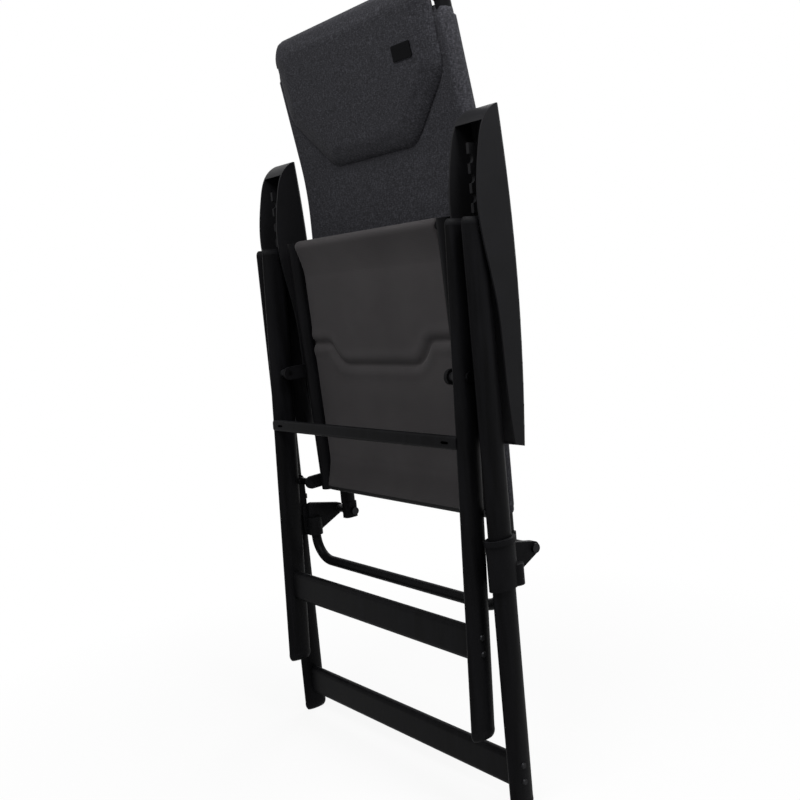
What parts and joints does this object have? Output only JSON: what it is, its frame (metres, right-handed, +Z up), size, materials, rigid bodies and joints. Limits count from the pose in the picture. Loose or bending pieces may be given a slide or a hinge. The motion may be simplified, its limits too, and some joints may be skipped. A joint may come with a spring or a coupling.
{
  "type": "folding camp chair",
  "caption": "Folding high-back camp chair, folded flat: black oval-tube legs, grey padded seat and back with headrest, channel armrests with recline racks.",
  "frame": {"origin": "centre of the bounding box's underside, on the floor under the folded chair", "axes": "+Z up, -Y towards the front of the chair, +X to the right of the picture; the chair mirrors about X = 0"},
  "size_m": [0.557, 0.1523, 1.1678],
  "materials": {
    "black_tube": "satin black powder coat",
    "black_nylon": "fine matt grain",
    "armrest_plastic": "fine matt grain",
    "grey_nylon": "smooth matt",
    "dark_steel": "blackened",
    "seat_fabric": "smooth woven polyester",
    "back_fabric": "melange woven polyester",
    "patch_fabric": "plain woven patch"
  },
  "bodies": {
    "front_frame": {"front_leg_left": "black_tube", "front_leg_right": "black_tube", "front_crossbar": "black_tube", "front_brace_bar": "black_tube", "front_crossbar_screws": "dark_steel", "front_feet": "black_nylon", "front_leg_caps": "black_nylon", "leg_hinge_pins": "dark_steel", "leg_hinge_spacers": "grey_nylon"},
    "rear_frame": {"rear_leg_left": "black_tube", "rear_leg_right": "black_tube", "rear_crossbar": "black_tube", "rear_crossbar_screws": "dark_steel", "rear_feet": "black_nylon", "rear_leg_caps": "black_nylon"},
    "seat": {"seat_rail_left": "black_tube", "seat_rail_right": "black_tube", "seat_front_tube": "black_tube", "seat_rear_tube": "black_tube", "seat_pad": "seat_fabric", "seat_front_brackets": "black_nylon", "seat_rear_brackets": "black_nylon", "seat_front_bolts": "dark_steel", "seat_front_spacers": "grey_nylon", "seat_rear_pins": "dark_steel"},
    "slider": {"slider_left": "black_nylon", "slider_right": "black_nylon", "slider_yoke_tube": "black_tube", "back_pivot_bolts": "dark_steel"},
    "back": {"back_pivot_bushes": "grey_nylon", "back_rail_left": "black_tube", "back_rail_right": "black_tube", "back_rail_shoes": "black_nylon", "back_corner_joints": "black_nylon", "back_top_tube": "black_tube", "back_pad": "back_fabric", "headrest_cushion": "back_fabric", "headrest_patch": "patch_fabric", "arm_brackets": "black_nylon", "arm_pins": "dark_steel"},
    "armrest_left": {"armrest_left": "armrest_plastic", "arm_rack_left": "grey_nylon", "arm_bush_left": "grey_nylon"},
    "armrest_right": {"armrest_right": "armrest_plastic", "arm_rack_right": "grey_nylon", "arm_bush_right": "grey_nylon"}
  },
  "joints": [
    {"name": "fold", "type": "hinge", "parent": "front_frame", "child": "rear_frame", "pos_m": [0, -0.0108, 0.816], "axis": [1, 0, 0], "range_deg": [0, 48]},
    {"name": "seat_fold", "type": "hinge", "parent": "front_frame", "child": "seat", "pos_m": [0, -0.03132, 0.621], "axis": [1, 0, 0], "range_deg": [0, 96]},
    {"name": "slider_turn", "type": "hinge", "parent": "seat", "child": "slider", "pos_m": [0, -0.0108, 0.426], "axis": [1, 0, 0], "range_deg": [-48, 0]},
    {"name": "back_fold", "type": "hinge", "parent": "slider", "child": "back", "pos_m": [0, 0.0622, 0.361], "axis": [1, 0, 0], "range_deg": [-50.9, 0]},
    {"name": "arm_fold_left", "type": "hinge", "parent": "back", "child": "armrest_left", "pos_m": [-0.2217, 0.0252, 0.581], "axis": [1, 0, 0], "range_deg": [0, 102.7]},
    {"name": "arm_fold_right", "type": "hinge", "parent": "back", "child": "armrest_right", "pos_m": [0.2217, 0.0252, 0.581], "axis": [1, 0, 0], "range_deg": [0, 102.7]}
  ],
  "couplings": [
    {"joint": "seat_fold", "follows": "fold", "ratio": 2},
    {"joint": "slider_turn", "follows": "fold", "ratio": -1},
    {"joint": "back_fold", "follows": "fold", "ratio": -1.06},
    {"joint": "arm_fold_left", "follows": "fold", "ratio": 2.138},
    {"joint": "arm_fold_right", "follows": "fold", "ratio": 2.138}
  ]
}
